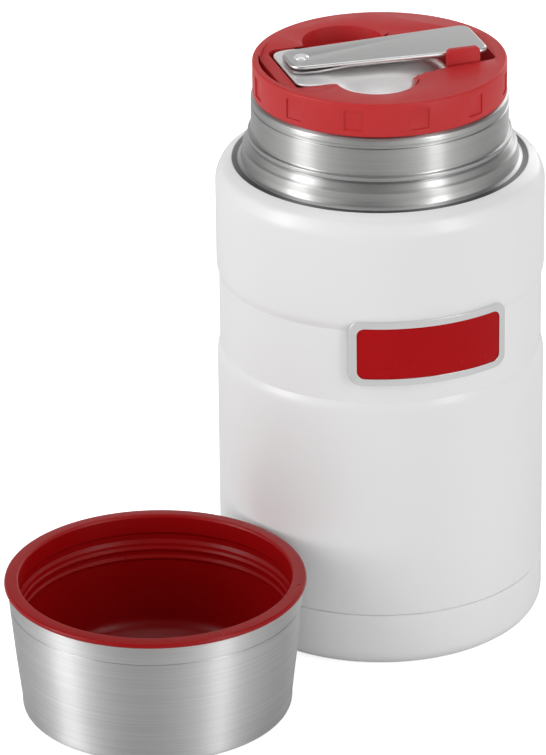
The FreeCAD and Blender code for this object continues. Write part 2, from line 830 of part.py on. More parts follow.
# Folding spoon, stowed: the bowl lies in the recess and the handle is swung back over it
def spoon_bowl():
    """An ellipsoid shell under the rim plane, with the flat neck that the rivet goes through."""
    outer = doc.addObject("Part::Ellipsoid", "bowl_outer")
    inner = doc.addObject("Part::Ellipsoid", "bowl_inner")
    for shape, shrink in ((outer, "0"), (inner, "spoon_thick")):
        bind(shape, "Radius2", "bowl_half_length - " + shrink)
        bind(shape, "Radius3", "bowl_half_width - " + shrink)
        bind(shape, "Radius1", "bowl_depth - " + shrink)
        shape.Angle1 = -90
        shape.Angle2 = 0
        bind(shape, "Placement.Base.z", "spoon_top")
    neck = doc.addObject("Sketcher::SketchObject", "neck_plan")
    bind(neck, "Placement.Base.z", "spoon_top - spoon_thick")
    share = "%r * neck_corner" % COVE
    outline(neck, [
        ("-neck_end", "-neck_half + neck_corner"),
        ("-neck_end + neck_corner", "-neck_half", "-neck_end + " + share, "-neck_half + " + share),
        ("-0.1 * bowl_half_length", "-0.995 * bowl_half_width"),
        ("-0.1 * bowl_half_length", "0.995 * bowl_half_width"),
        ("-neck_end + neck_corner", "neck_half"),
        ("-neck_end", "neck_half - neck_corner", "-neck_end + " + share, "neck_half - " + share),
    ])
    plate = doc.addObject("Part::Extrusion", "neck_plate")
    plate.Base = neck
    plate.DirMode = "Custom"
    plate.Dir = V(0, 0, 1)
    bind(plate, "LengthFwd", "spoon_thick")
    plate.Solid = True
    solid = doc.addObject("Part::MultiFuse", "spoon_solid")
    solid.Shapes = [outer, plate]
    cut = doc.addObject("Part::Cut", "spoon_scooped")
    cut.Base = solid
    cut.Tool = inner
    hole = doc.addObject("Part::Cylinder", "rivet_hole")
    bind(hole, "Radius", "rivet_radius + rivet_clear")
    bind(hole, "Height", "4 * spoon_thick")
    bind(hole, "Placement.Base.x", "-rivet_x")
    bind(hole, "Placement.Base.z", "spoon_top - 2 * spoon_thick")
    spoon = doc.addObject("Part::Cut", "spoon_bowl")
    spoon.Base = cut
    spoon.Tool = hole
    doc.recompute()
    return spoon


def spoon_handle():
    """A strip folded back on itself at the free end; its leaves part at the rivet."""
    body = new_body("spoon_handle")
    plan = new_sketch(body, "handle_plan", "XY_Plane", HANDLE_BOTTOM)
    corners = [
        ("-handle_left", "-handle_left_half"),
        ("handle_right", "-handle_right_half"),
        ("handle_right", "handle_right_half"),
        ("-handle_left", "handle_left_half"),
    ]
    outline(plan, corners)
    circle(plan, ("-rivet_x", "0"), "rivet_radius")
    pad(body, plan, "handle_strip", "2 * leaf_thick + leaf_gap")
    fillet(body, "rivet_end_corners", "handle_left_corner", upright_at([corners[0], corners[3]]))
    fillet(body, "free_end_corners", "handle_right_corner", upright_at([corners[1], corners[2]]))
    joint = "(leaf_joint - rivet_x)"
    top_leaf = "(%s - leaf_thick)" % HANDLE_TOP
    side = new_sketch(body, "leaf_gap_profile", "XZ_Plane")
    outline(side, [
        ("-handle_left - 1", HANDLE_BOTTOM + " + leaf_thick"),
        ("-rivet_x + 0.25 * leaf_joint", HANDLE_BOTTOM + " + leaf_thick"),
        (joint, top_leaf + " - 0.05"),
        (joint, top_leaf),
        ("-handle_left - 1", top_leaf),
    ])
    pocket(body, side, "leaf_opening", "3 * handle_right_half", both=True)
    under = new_sketch(body, "under_profile", "XZ_Plane")
    outline(under, [
        ("-rivet_x + 0.25 * leaf_joint + 1", HANDLE_BOTTOM),
        (joint + " + 1", HANDLE_BOTTOM + " - 0.5"),
        ("handle_right + 1", HANDLE_BOTTOM + " - 0.5"),
        ("handle_right + 1", HANDLE_BOTTOM + " + leaf_gap"),
        (joint + " + 1", HANDLE_BOTTOM + " + leaf_gap"),
    ])
    pocket(body, under, "under_relief", "3 * handle_right_half", both=True)
    end = number("handle_right")
    fillet(body, "folded_end", "0.9 * leaf_thick", lambda edge: (
        edge.BoundBox.XLength < 1e-4 and edge.BoundBox.ZLength < 1e-4
        and abs(edge.BoundBox.XMin - end) < 1e-3))
    return body


def spoon_rivet():
    body = new_body("spoon_rivet")
    under = "(spoon_top - spoon_thick)"
    turned(body, "rivet_form", [
        ("0", under + " - rivet_head_thick"),
        ("rivet_head", under + " - rivet_head_thick"),
        ("rivet_head", under),
        ("rivet_radius", under),
        ("rivet_radius", HANDLE_TOP),
        ("rivet_head", HANDLE_TOP),
        ("0.5 * rivet_head", HANDLE_TOP + " + rivet_head_thick",
         "0.85 * rivet_head", HANDLE_TOP + " + 0.65 * rivet_head_thick"),
        ("0", HANDLE_TOP + " + rivet_head_thick"),
    ])
    bind(body, "Placement.Base.x", "-rivet_x")
    return body


def spoon_washer():
    """The spring washer that keeps the handle stiff, between the spoon's neck and the handle."""
    body = new_body("spoon_washer")
    sketch = new_sketch(body, "washer_outline", "XY_Plane", "spoon_top")
    circle(sketch, ("-rivet_x", "0"), "rivet_radius + washer_rim")
    circle(sketch, ("-rivet_x", "0"), "rivet_radius + rivet_clear")
    pad(body, sketch, "washer_form", "handle_gap")
    return body


# Cup: brushed steel outside, red liner with the rolled rim and the screw ridges inside
def beside_jar(body):
    """Stand a turned piece of the cup where the cup stands."""
    bind(body, "Placement.Base.x", "-cup_reach * cos(cup_bearing)")
    bind(body, "Placement.Base.y", "-cup_reach * sin(cup_bearing)")


def cup_shell():
    body = new_body("cup_shell")
    turned(body, "cup_shell_form", [
        ("0", "cup_foot_rise"),
        ("cup_foot_radius - cup_foot_rise", "cup_foot_rise"),
        ("cup_foot_radius", "0"),
        ("cup_low_radius - cup_corner", "0"),
        ("cup_low_radius", "cup_low")
        + quarter("cup_low_radius", "0", "cup_corner"),
        ("cup_mid_radius", "cup_mid"),
        ("cup_seam_radius", "cup_seam"),
        ("cup_top_radius", "cup_height - cup_rim_thick"),
        ("cup_top_radius - cup_wall", "cup_height - cup_rim_thick"),
        ("cup_seam_radius - cup_wall", "cup_seam"),
        ("cup_mid_radius - cup_wall", "cup_mid"),
        ("cup_low_radius - cup_wall", "cup_low"),
        ("cup_low_radius - cup_corner", "cup_wall")
        + quarter("(cup_low_radius - cup_wall)", "cup_wall", "(cup_corner - cup_wall)"),
        ("cup_foot_radius + 0.4 * cup_wall", "cup_wall"),
        ("cup_foot_radius - cup_foot_rise + 0.4 * cup_wall", "cup_foot_rise + cup_wall"),
        ("0", "cup_foot_rise + cup_wall"),
    ])
    beside_jar(body)
    return body


def cup_liner():
    body = new_body("cup_liner")
    back = "(cup_wall + liner_gap)"
    front = "(cup_wall + liner_gap + liner_wall)"
    floor = "(cup_foot_rise + cup_wall + liner_wall)"
    turned(body, "cup_liner_form", [
        ("0", "cup_foot_rise + cup_wall"),
        ("cup_foot_radius - cup_foot_rise - 1", "cup_foot_rise + cup_wall"),
        ("cup_low_radius - cup_corner - 1", "cup_wall + 1.2"),
        ("cup_low_radius - %s" % back, "cup_low + 1.5"),
        ("cup_mid_radius - %s" % back, "cup_mid"),
        ("cup_seam_radius - %s" % back, "cup_seam"),
        ("cup_top_radius - %s" % back, "cup_height - cup_rim_thick"),
        ("cup_rim_radius - 0.3", "cup_height - cup_rim_thick"),
        ("cup_rim_radius", "cup_height - cup_rim_thick + 0.4"),
        ("cup_rim_radius - 0.8", "cup_height",
         "cup_rim_radius - 0.2", "cup_height - 0.3"),
        ("cup_rim_inner + 0.5", "cup_height"),
        ("cup_rim_inner", "cup_height - 0.6"),
        ("cup_rim_inner", "cup_seam + 1.5"),
        ("cup_rim_inner + 0.6", "cup_seam + 1"),
        ("cup_rim_inner + 0.6", "cup_seam - 1"),
        ("cup_rim_inner", "cup_seam - 1.8"),
        ("cup_rim_inner - 0.3", "ridge_one + 0.7"),
        ("cup_rim_inner - 0.3 - liner_ridge", "ridge_one"),
        ("cup_rim_inner - 0.5", "ridge_one - 0.7"),
        ("cup_rim_inner - 0.6", "ridge_two + 0.7"),
        ("cup_rim_inner - 0.6 - liner_ridge", "ridge_two"),
        ("cup_rim_inner - 0.8", "ridge_two - 0.7"),
        ("cup_mid_radius - %s - 0.6" % front, "cup_mid"),
        ("cup_low_radius - %s - 0.6" % front, floor + " + 4"),
        ("cup_low_radius - %s - 4.6" % front, floor,
         "cup_low_radius - %s - 1.8" % front, floor + " + 1.2"),
        ("0", floor),
    ])
    beside_jar(body)
    return body


PIECES = [outer_shell, base_pan, base_pad, evacuation_seal, getter, neck_collar, inner_vessel,
          radiation_foil, badge_bezel, badge_plate,
          stopper_top, stopper_plug, plug_base, stopper_foam, stopper_gasket,
          spoon_bowl, spoon_handle, spoon_rivet, spoon_washer,
          cup_shell, cup_liner]


def export(pieces):
    """Check every object and every piece, then write one STEP file for each piece."""
    doc.recompute()
    for thing in doc.Objects:
        if "Invalid" in thing.State or "Error" in thing.State:
            raise RuntimeError("%s is not computed" % thing.Name)
    for piece in pieces:
        shape = piece.Shape
        if shape.isNull() or not shape.isValid() or len(shape.Solids) != 1:
            raise RuntimeError("%s is not one valid solid" % piece.Label)
    os.makedirs("parts", exist_ok=True)
    for piece in pieces:
        piece.Shape.exportStep("parts/%s.step" % piece.Label)
        box = piece.Shape.BoundBox
        print("%-16s volume %9.1f  x %.1f %.1f  y %.1f %.1f  z %.1f %.1f" % (
            piece.Label, piece.Shape.Volume,
            box.XMin, box.XMax, box.YMin, box.YMax, box.ZMin, box.ZMax))


export([make() for make in PIECES])
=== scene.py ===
import bpy
import math
from mathutils import Matrix, Vector


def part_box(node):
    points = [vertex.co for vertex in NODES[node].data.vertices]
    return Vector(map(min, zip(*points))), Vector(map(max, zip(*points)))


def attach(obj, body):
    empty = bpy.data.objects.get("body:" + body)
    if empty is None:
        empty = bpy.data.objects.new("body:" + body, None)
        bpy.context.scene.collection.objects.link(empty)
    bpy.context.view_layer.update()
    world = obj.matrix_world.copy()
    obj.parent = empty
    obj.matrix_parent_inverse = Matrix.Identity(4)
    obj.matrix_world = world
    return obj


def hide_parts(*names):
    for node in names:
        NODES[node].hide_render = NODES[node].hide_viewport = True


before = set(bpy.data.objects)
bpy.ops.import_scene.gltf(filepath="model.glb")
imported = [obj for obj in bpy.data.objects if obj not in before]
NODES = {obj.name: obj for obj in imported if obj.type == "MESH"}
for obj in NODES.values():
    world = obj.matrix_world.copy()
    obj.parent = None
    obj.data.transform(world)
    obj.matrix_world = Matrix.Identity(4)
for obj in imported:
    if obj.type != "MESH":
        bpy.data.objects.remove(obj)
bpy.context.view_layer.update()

MM = 0.001
MERGE_DISTANCE = 0.002 * MM

# Camera, fitted to the photograph: metres and degrees
EYE = Vector((-0.5251, -1.5998, 0.8512))
TURN = math.radians(17.0)
TILT = math.radians(24.647)
ROLL = math.radians(-0.646)
FOCAL_PIXELS = 5783.7
PHOTO_HEIGHT = 755
SENSOR = 36.0

# Studio: bearings in degrees to the right of the camera's own, distances and sizes in metres
AIM = Vector((0, 0, 0.1))
KEY_BEARING = 48
SIDE_BEARING = -70
RIM_BEARING = 150
TOP_PLACE = Vector((0.1, 0.3, 1.7))

# The lit room: soft lobes as (bearing, strength) over an even level, darker towards the ceiling
WALL_LIGHTS = ((48, 2.2), (-72, 2.4), (180, 0.9))
WALL_FOCUS = 5
ROOM_LEVEL = 0.42
CEILING = 0.35
CEILING_HEIGHT = 0.8

# The floor's own glow, which only the camera sees
FLOOR_RADIUS = 3.0
FLOOR_GREY = 0.86
FLOOR_GLOW = 0.75


def clean_slate():
    """Nothing selected, so that the next operator acts on the new primitive alone."""
    if bpy.context.object and bpy.context.object.mode != "OBJECT":
        bpy.ops.object.mode_set(mode="OBJECT")
    bpy.ops.object.select_all(action="DESELECT")


def add_camera():
    level = Vector((math.sin(TURN), math.cos(TURN), 0))
    forward = math.cos(TILT) * level - Vector((0, 0, math.sin(TILT)))
    right = Vector((math.cos(TURN), -math.sin(TURN), 0))
    up = right.cross(forward)
    rolled_right = math.cos(ROLL) * right + math.sin(ROLL) * up
    rolled_up = math.cos(ROLL) * up - math.sin(ROLL) * right
    data = bpy.data.cameras.new("camera")
    data.sensor_fit = "VERTICAL"
    data.sensor_height = SENSOR
    data.lens = FOCAL_PIXELS / PHOTO_HEIGHT * SENSOR
    data.clip_end = 20
    camera = bpy.data.objects.new("camera", data)
    camera.matrix_world = Matrix.Translation(EYE) @ Matrix(
        (rolled_right, rolled_up, -forward)).transposed().to_4x4()
    bpy.context.scene.collection.objects.link(camera)
    bpy.context.scene.camera = camera


def bearing(degrees, distance, height):
    """A point round the jar's axis, at a bearing to the right of the camera's own."""
    angle = -TURN + math.radians(degrees)
    return Vector((distance * math.sin(angle), -distance * math.cos(angle), height))


def softbox(name, place, width, height, watts):
    """A rectangular lamp that faces the middle of the jar."""
    data = bpy.data.lights.new(name, "AREA")
    data.shape = "RECTANGLE"
    data.size = width
    data.size_y = height
    data.energy = watts
    lamp = bpy.data.objects.new(name, data)
    facing = (place - AIM).normalized().to_track_quat("Z", "Y").to_matrix().to_4x4()
    lamp.matrix_world = Matrix.Translation(place) @ facing
    bpy.context.scene.collection.objects.link(lamp)


def add_lights():
    softbox("key_softbox", bearing(KEY_BEARING, 1.5, 0.75), width=0.4, height=1.5, watts=7)
    softbox("side_softbox", bearing(SIDE_BEARING, 1.4, 0.6), width=0.5, height=1.5, watts=8.5)
    softbox("top_softbox", TOP_PLACE, width=1.3, height=1.3, watts=8)
    softbox("rim_softbox", bearing(RIM_BEARING, 1.6, 0.7), width=0.7, height=1.3, watts=5)


def feed(tree, socket, value):
    """Link an output to a socket, or set the socket to a number or a vector."""
    if isinstance(value, bpy.types.NodeSocket):
        tree.links.new(value, socket)
    else:
        socket.default_value = value


def calculate(tree, operation, *values):
    """A math node that does one operation on outputs and numbers."""
    node = tree.nodes.new("ShaderNodeMath")
    node.operation = operation
    for socket, value in zip(node.inputs, values):
        feed(tree, socket, value)
    return node.outputs[0]


def add_world():
    """A room that lights the object by bearing and height and that the camera sees as white."""
    world = bpy.data.worlds.new("studio")
    bpy.context.scene.world = world
    world.use_nodes = True
    tree = world.node_tree
    tree.nodes.clear()
    where = tree.nodes.new("ShaderNodeTexCoord").outputs["Generated"]
    level = ROOM_LEVEL
    for degrees, strength in WALL_LIGHTS:
        facing = tree.nodes.new("ShaderNodeVectorMath")
        facing.operation = "DOT_PRODUCT"
        feed(tree, facing.inputs[0], where)
        feed(tree, facing.inputs[1], bearing(degrees, 1, 0))
        ahead = calculate(tree, "MAXIMUM", facing.outputs["Value"], 0)
        lobe = calculate(tree, "POWER", ahead, WALL_FOCUS)
        level = calculate(tree, "MULTIPLY_ADD", lobe, strength, level)
    split = tree.nodes.new("ShaderNodeSeparateXYZ")
    feed(tree, split.inputs[0], where)
    shade = tree.nodes.new("ShaderNodeMapRange")
    feed(tree, shade.inputs["Value"], split.outputs["Z"])
    shade.inputs["From Max"].default_value = CEILING_HEIGHT
    shade.inputs["To Min"].default_value = 1
    shade.inputs["To Max"].default_value = CEILING
    lit = tree.nodes.new("ShaderNodeBackground")
    feed(tree, lit.inputs["Strength"], calculate(tree, "MULTIPLY", level, shade.outputs[0]))
    seen = tree.nodes.new("ShaderNodeBackground")
    seen.inputs["Color"].default_value = (1, 1, 1, 1)
    mix = tree.nodes.new("ShaderNodeMixShader")
    camera_ray = tree.nodes.new("ShaderNodeLightPath").outputs["Is Camera Ray"]
    for socket, value in zip(mix.inputs, (camera_ray, lit.outputs[0], seen.outputs[0])):
        feed(tree, socket, value)
    out = tree.nodes.new("ShaderNodeOutputWorld")
    feed(tree, out.inputs["Surface"], mix.outputs[0])


def add_floor():
    """A wide pale floor that the camera sees as white, apart from the object's shadow."""
    clean_slate()
    bpy.ops.mesh.primitive_circle_add(
        vertices=96, radius=FLOOR_RADIUS, fill_type="NGON", location=(0, 0, 0))
    floor = bpy.context.object
    floor.name = "floor"
    mat = bpy.data.materials.new("floor_paper")
    mat.use_nodes = True
    tree = mat.node_tree
    tree.nodes.clear()
    paper = tree.nodes.new("ShaderNodeBsdfDiffuse")
    paper.inputs["Color"].default_value = (FLOOR_GREY, FLOOR_GREY, FLOOR_GREY, 1)
    glow = tree.nodes.new("ShaderNodeEmission")
    glow.inputs["Color"].default_value = (1, 1, 1, 1)
    camera_ray = tree.nodes.new("ShaderNodeLightPath").outputs["Is Camera Ray"]
    feed(tree, glow.inputs["Strength"], calculate(tree, "MULTIPLY", camera_ray, FLOOR_GLOW))
    both = tree.nodes.new("ShaderNodeAddShader")
    feed(tree, both.inputs[0], paper.outputs[0])
    feed(tree, both.inputs[1], glow.outputs[0])
    out = tree.nodes.new("ShaderNodeOutputMaterial")
    feed(tree, out.inputs["Surface"], both.outputs[0])
    floor.data.materials.append(mat)


# Materials. A scale is in waves per metre, a depth in metres
POWDER_SCALE = 700
GRAIN_SCALE = 1400
MARKS_PER_METRE = 9000
MARKS_ROUND = 30
BANDS_ROUND = 18
ROLLED_STRETCH = (60, 6000, 6000)


class Finish:
    """One procedural material: a shader and the nodes that give it its grain."""

    def __init__(self, name, colour, roughness, metallic=0.0):
        self.material = bpy.data.materials.new(name)
        self.material.use_nodes = True
        self.tree = self.material.node_tree
        self.tree.nodes.clear()
        out = self.node("ShaderNodeOutputMaterial")
        self.shader = self.node("ShaderNodeBsdfPrincipled")
        self.link(self.shader.outputs[0], out.inputs["Surface"])
        self.colour = colour
        self.roughness = roughness
        self.set(Base_Color=(*colour, 1), Roughness=roughness, Metallic=metallic)
        self.where = self.node("ShaderNodeTexCoord").outputs["Object"]

    def set(self, **sockets):
        for name, value in sockets.items():
            self.shader.inputs[name.replace("_", " ")].default_value = value
        return self

    def node(self, kind, **settings):
        node = self.tree.nodes.new(kind)
        for name, value in settings.items():
            setattr(node, name, value)
        return node

    def link(self, output, socket):
        self.tree.links.new(output, socket)

    def mapped(self, scale=(1, 1, 1), centre=(0, 0, 0)):
        """Object coordinates in metres, taken from a centre and scaled along each axis."""
        mapping = self.node("ShaderNodeMapping")
        mapping.inputs["Location"].default_value = tuple(-c * s for c, s in zip(centre, scale))
        mapping.inputs["Scale"].default_value = scale
        self.link(self.where, mapping.inputs["Vector"])
        return mapping.outputs[0]

    def turned(self, around, along, centre):
        """Coordinates that run with turning marks: fine along radius and height, long around."""
        split = self.node("ShaderNodeSeparateXYZ")
        self.link(self.mapped(centre=centre), split.inputs[0])
        flat = self.node("ShaderNodeCombineXYZ")
        self.link(split.outputs["X"], flat.inputs["X"])
        self.link(split.outputs["Y"], flat.inputs["Y"])
        radius = self.node("ShaderNodeVectorMath", operation="LENGTH")
        self.link(flat.outputs[0], radius.inputs[0])
        total = calculate(self.tree, "ADD", radius.outputs["Value"], split.outputs["Z"])
        fine = self.node("ShaderNodeCombineXYZ")
        self.link(calculate(self.tree, "MULTIPLY", total, along), fine.inputs["Z"])
        long = self.node("ShaderNodeVectorMath", operation="SCALE")
        self.link(flat.outputs[0], long.inputs[0])
        long.inputs["Scale"].default_value = around
        both = self.node("ShaderNodeVectorMath", operation="ADD")
        self.link(long.outputs[0], both.inputs[0])
        self.link(fine.outputs[0], both.inputs[1])
        return both.outputs[0]

    def noise(self, vector, scale=1.0, detail=3.0, rough=0.5):
        noise = self.node("ShaderNodeTexNoise")
        noise.inputs["Scale"].default_value = scale
        noise.inputs["Detail"].default_value = detail
        noise.inputs["Roughness"].default_value = rough
        self.link(vector, noise.inputs["Vector"])
        return noise.outputs["Fac"]

    def spread_out(self, fac, ends, results=(0, 1)):
        """The part of a noise between two ends, drawn out between two results."""
        span = self.node("ShaderNodeMapRange")
        for name, value in zip(("From Min", "From Max", "To Min", "To Max"), (*ends, *results)):
            span.inputs[name].default_value = value
        self.link(fac, span.inputs["Value"])
        return span.outputs[0]

    def vary_roughness(self, fac, spread):
        ends = max(self.roughness - spread, 0.02), self.roughness + spread
        self.link(self.spread_out(fac, (0.3, 0.7), ends), self.shader.inputs["Roughness"])

    def vary_colour(self, fac, darker):
        """Patches of the colour times a share below one."""
        mix = self.node("ShaderNodeMix", data_type="RGBA")
        mix.inputs["A"].default_value = (*self.colour, 1)
        mix.inputs["B"].default_value = (*(c * darker for c in self.colour), 1)
        self.link(self.spread_out(fac, (0.35, 0.65)), mix.inputs["Factor"])
        self.link(mix.outputs["Result"], self.shader.inputs["Base Color"])

    def bump(self, fac, depth, strength):
        bump = self.node("ShaderNodeBump")
        bump.inputs["Strength"].default_value = strength
        bump.inputs["Distance"].default_value = depth
        self.link(fac, bump.inputs["Height"])
        self.link(bump.outputs[0], self.shader.inputs["Normal"])


def white_coat():
    coat = Finish("white_powder_coat", (0.84, 0.84, 0.845), 0.34)
    coat.bump(coat.noise(coat.mapped(), scale=POWDER_SCALE, detail=2), 0.00002, 0.5)
    coat.vary_roughness(coat.noise(coat.mapped(), scale=60), 0.04)
    return coat.set(Coat_Weight=0.25, Coat_Roughness=0.2).material


def turned_steel(name, colour, roughness, centre=(0, 0, 0), depth=0.0000003):
    """Steel with turning marks round an upright axis, so that its highlights stand upright."""
    steel = Finish(name, colour, roughness, 1.0)
    marks = steel.noise(steel.turned(MARKS_ROUND, MARKS_PER_METRE, centre), detail=4, rough=0.6)
    steel.bump(marks, depth, 0.6)
    steel.vary_roughness(marks, 0.06)
    bands = steel.noise(steel.turned(BANDS_ROUND, MARKS_PER_METRE / 4, centre), detail=2)
    steel.vary_colour(bands, 0.9)
    around = steel.node("ShaderNodeTangent", direction_type="RADIAL", axis="Z")
    steel.link(around.outputs[0], steel.shader.inputs["Tangent"])
    return steel.set(Anisotropic=0.9, Anisotropic_Rotation=0.25).material


def plain_steel(name, colour, roughness, metallic=1.0, spread=0.04):
    steel = Finish(name, colour, roughness, metallic)
    steel.vary_roughness(steel.noise(steel.mapped(), scale=120, detail=4), spread)
    return steel.material


def satin_strip():
    """Steel strip with its grain along X, as it was rolled."""
    steel = Finish("satin_strip", (0.66, 0.66, 0.655), 0.36, 1.0)
    grain = steel.noise(steel.mapped(ROLLED_STRETCH))
    steel.bump(grain, 0.000004, 0.6)
    steel.vary_roughness(grain, 0.06)
    return steel.material


def moulded(name, colour, roughness, depth=0.00001, shine=0.3):
    plastic = Finish(name, colour, roughness)
    plastic.bump(plastic.noise(plastic.mapped(), scale=GRAIN_SCALE, detail=2), depth, 0.5)
    plastic.vary_roughness(plastic.noise(plastic.mapped(), scale=90), 0.05)
    plastic.vary_colour(plastic.noise(plastic.mapped(), scale=25), 0.93)
    return plastic.set(Specular_IOR_Level=shine).material


CUP_CENTRE = (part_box("cup_liner")[0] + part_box("cup_liner")[1]) / 2
FINISHES = {
    "white": white_coat(),
    "neck": turned_steel("turned_neck_steel", (0.5, 0.5, 0.495), 0.36),
    # A darker copy of the neck steel: painted shade for the ledge and the groove
    "ledge": turned_steel("painted_shade_ledge_steel", (0.2, 0.2, 0.2), 0.4),
    "cup": turned_steel(
        "brushed_cup_steel", (0.68, 0.68, 0.68), 0.5, (CUP_CENTRE.x, CUP_CENTRE.y, 0), 0.0000004),
    "vessel": turned_steel("vessel_steel", (0.55, 0.55, 0.55), 0.3, depth=0.000004),
    "foil": plain_steel("bright_foil", (0.85, 0.84, 0.82), 0.2),
    "rubber": moulded("black_rubber", (0.03, 0.03, 0.03), 0.7),
    "bead": moulded("solder_glass_bead", (0.06, 0.06, 0.05), 0.3),
    "getter": plain_steel("getter_metal", (0.3, 0.3, 0.3), 0.5),
    "bezel": plain_steel("polished_bezel", (0.82, 0.82, 0.82), 0.14),
    "badge": moulded("gloss_badge_red", (0.42, 0.002, 0.004), 0.25, depth=0.000002, shine=0.12),
    "red": moulded("satin_red_plastic", (0.56, 0.026, 0.028), 0.42),
    # Gloss red plastic made darker than the stopper's red: painted shade for the inside of the cup
    "liner": moulded("gloss_red_painted_shade", (0.32, 0.002, 0.003), 0.32, shine=0.2),
    "foam": moulded("closed_cell_foam", (0.8, 0.78, 0.7), 0.85),
    "silicone": moulded("grey_silicone", (0.6, 0.6, 0.6), 0.5),
    "spoon": plain_steel("satin_spoon_steel", (0.88, 0.87, 0.87), 0.3, 0.55, 0.015),
    "strip": satin_strip(),
}

NODE_FINISH = {
    "outer_shell": "white", "base_pan": "white", "base_pad": "rubber", "evacuation_seal": "bead",
    "getter": "getter", "neck_collar": "neck", "inner_vessel": "vessel", "radiation_foil": "foil",
    "badge_bezel": "bezel", "badge_plate": "badge", "stopper_top": "red", "stopper_plug": "red",
    "stopper_foam": "foam", "stopper_gasket": "silicone", "spoon_bowl": "spoon",
    "spoon_rivet": "spoon", "spoon_handle": "strip", "cup_shell": "cup", "cup_liner": "liner",
    "plug_base": "red", "spoon_washer": "spoon",
}


def dress_nodes():
    for node, finish in NODE_FINISH.items():
        mesh = NODES[node].data
        mesh.materials.clear()
        mesh.materials.append(FINISHES[finish])


# Pieces of an arc in an outline, of a turn, of a rounded edge and of a rounded corner
ARC_PIECES = 6
TURN_STEPS = 192
EDGE_SEGMENTS = 3
CORNER_SEGMENTS = 6


def edit(on=True):
    bpy.ops.object.mode_set(mode="EDIT" if on else "OBJECT")


def finish_piece(piece, node_names, body, finish, angle=35):
    clean_slate()
    piece.select_set(True)
    bpy.context.view_layer.objects.active = piece
    bpy.ops.object.transform_apply(location=True, rotation=True, scale=True)
    bpy.ops.object.shade_smooth_by_angle(angle=math.radians(angle))
    piece.data.materials.clear()
    piece.data.materials.append(FINISHES[finish])
    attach(piece, body)
    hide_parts(*node_names)


def close_up():
    """Merge what coincides and turn the faces outwards."""
    bpy.ops.mesh.select_all(action="SELECT")
    bpy.ops.mesh.remove_doubles(threshold=MERGE_DISTANCE)
    bpy.ops.mesh.normals_make_consistent(inside=False)


def rounded(points):
    """Corners given as (radius, height, round) become arcs of that round."""
    result = []
    for index, point in enumerate(points):
        if len(point) == 2:
            result.append(Vector(point[:2]))
            continue
        corner = Vector(point[:2])
        back = Vector(points[index - 1][:2]) - corner
        on = Vector(points[index + 1][:2]) - corner
        opening = back.angle(on)
        reach = min(point[2] / math.tan(opening / 2), 0.49 * back.length, 0.49 * on.length)
        radius = reach * math.tan(opening / 2)
        inward = (back.normalized() + on.normalized()).normalized()
        centre = corner + inward * radius / math.sin(opening / 2)
        start = corner + back.normalized() * reach - centre
        end = corner + on.normalized() * reach - centre
        sweep = start.angle(end)
        for step in range(ARC_PIECES + 1):
            share = step / ARC_PIECES
            mix = start * math.sin((1 - share) * sweep) + end * math.sin(share * sweep)
            result.append(centre + mix / math.sin(sweep))
    return result


def lathe(name, points, centre=(0, 0), steps=TURN_STEPS):
    """Extrude an outline from one vertex and spin it.

    The outline is in millimetres, as (radius, height) or (radius, height, round of the corner).
    """
    outline = rounded(points)
    clean_slate()
    bpy.ops.mesh.primitive_plane_add(size=MM)
    piece = bpy.context.object
    piece.name = name
    edit()
    bpy.ops.mesh.select_all(action="SELECT")
    bpy.ops.mesh.merge(type="CENTER")
    bpy.ops.transform.translate(value=(outline[0][0] * MM, 0, outline[0][1] * MM))
    for before, point in zip(outline, outline[1:]):
        step = (point - before) * MM
        bpy.ops.mesh.extrude_vertices_move(TRANSFORM_OT_translate={"value": (step[0], 0, step[1])})
    bpy.ops.mesh.select_all(action="SELECT")
    bpy.ops.mesh.spin(steps=steps, angle=math.tau, center=(0, 0, 0), axis=(0, 0, 1))
    close_up()
    bpy.ops.transform.translate(value=(centre[0], centre[1], 0))
    edit(False)
    return piece


def pick_upright_edges(piece, corners, near=0.25):
    """Select the edges parallel to Z that stand on one of the corners, in millimetres."""
    points = piece.data.vertices
    for edge in piece.data.edges:
        low, high = (points[index].co / MM for index in edge.vertices)
        upright = (low.xy - high.xy).length < 0.01
        edge.select = upright and any((low.xy - Vector(corner)).length < near for corner in corners)


def softened(name, node, width, angle=30, corners=(), reach=0):
    """A copy of a CAD node's mesh, joined up, with every edge sharper than the angle rounded.

    The upright edges that stand on one of the corners (x, y) are rounded first, by reach.
    """
    clean_slate()
    piece = bpy.data.objects.new(name, NODES[node].data.copy())
    bpy.context.scene.collection.objects.link(piece)
    piece.select_set(True)
    bpy.context.view_layer.objects.active = piece
    edit()
    bpy.ops.mesh.select_all(action="SELECT")
    bpy.ops.mesh.remove_doubles(threshold=MERGE_DISTANCE)
    bpy.ops.mesh.dissolve_limited(angle_limit=math.radians(0.5))
    if corners:
        bpy.ops.mesh.select_all(action="DESELECT")
        edit(False)
        pick_upright_edges(piece, corners)
        edit()
        bpy.ops.mesh.bevel(offset=reach * MM, segments=CORNER_SEGMENTS, affect="EDGES")
    edit(False)
    rounding = piece.modifiers.new("edge_rounding", "BEVEL")
    rounding.width = width * MM
    rounding.segments = EDGE_SEGMENTS
    rounding.limit_method = "ANGLE"
    rounding.angle_limit = math.radians(angle)
    rounding.use_clamp_overlap = True
    bpy.ops.object.modifier_apply(modifier=rounding.name)
    return piece


# Jar
def make_coat():
    coat = lathe("coated_shell", [
        (51.2, 19.25), (51.7, 19.25, 0.2), (52.0, 19.55, 0.3), (52.0, 90.6, 9.0),
        (49.8, 97.4, 9.0), (49.8, 113.2, 9.0), (52.0, 119.8, 9.0), (52.0, 149.6, 7.0),
        (50.3, 153.4, 4.0), (46.6, 155.6, 0.35), (46.6, 154.7), (51.2, 149.4), (51.2, 19.25)])
    finish_piece(coat, ["outer_shell"], "jar", "white")


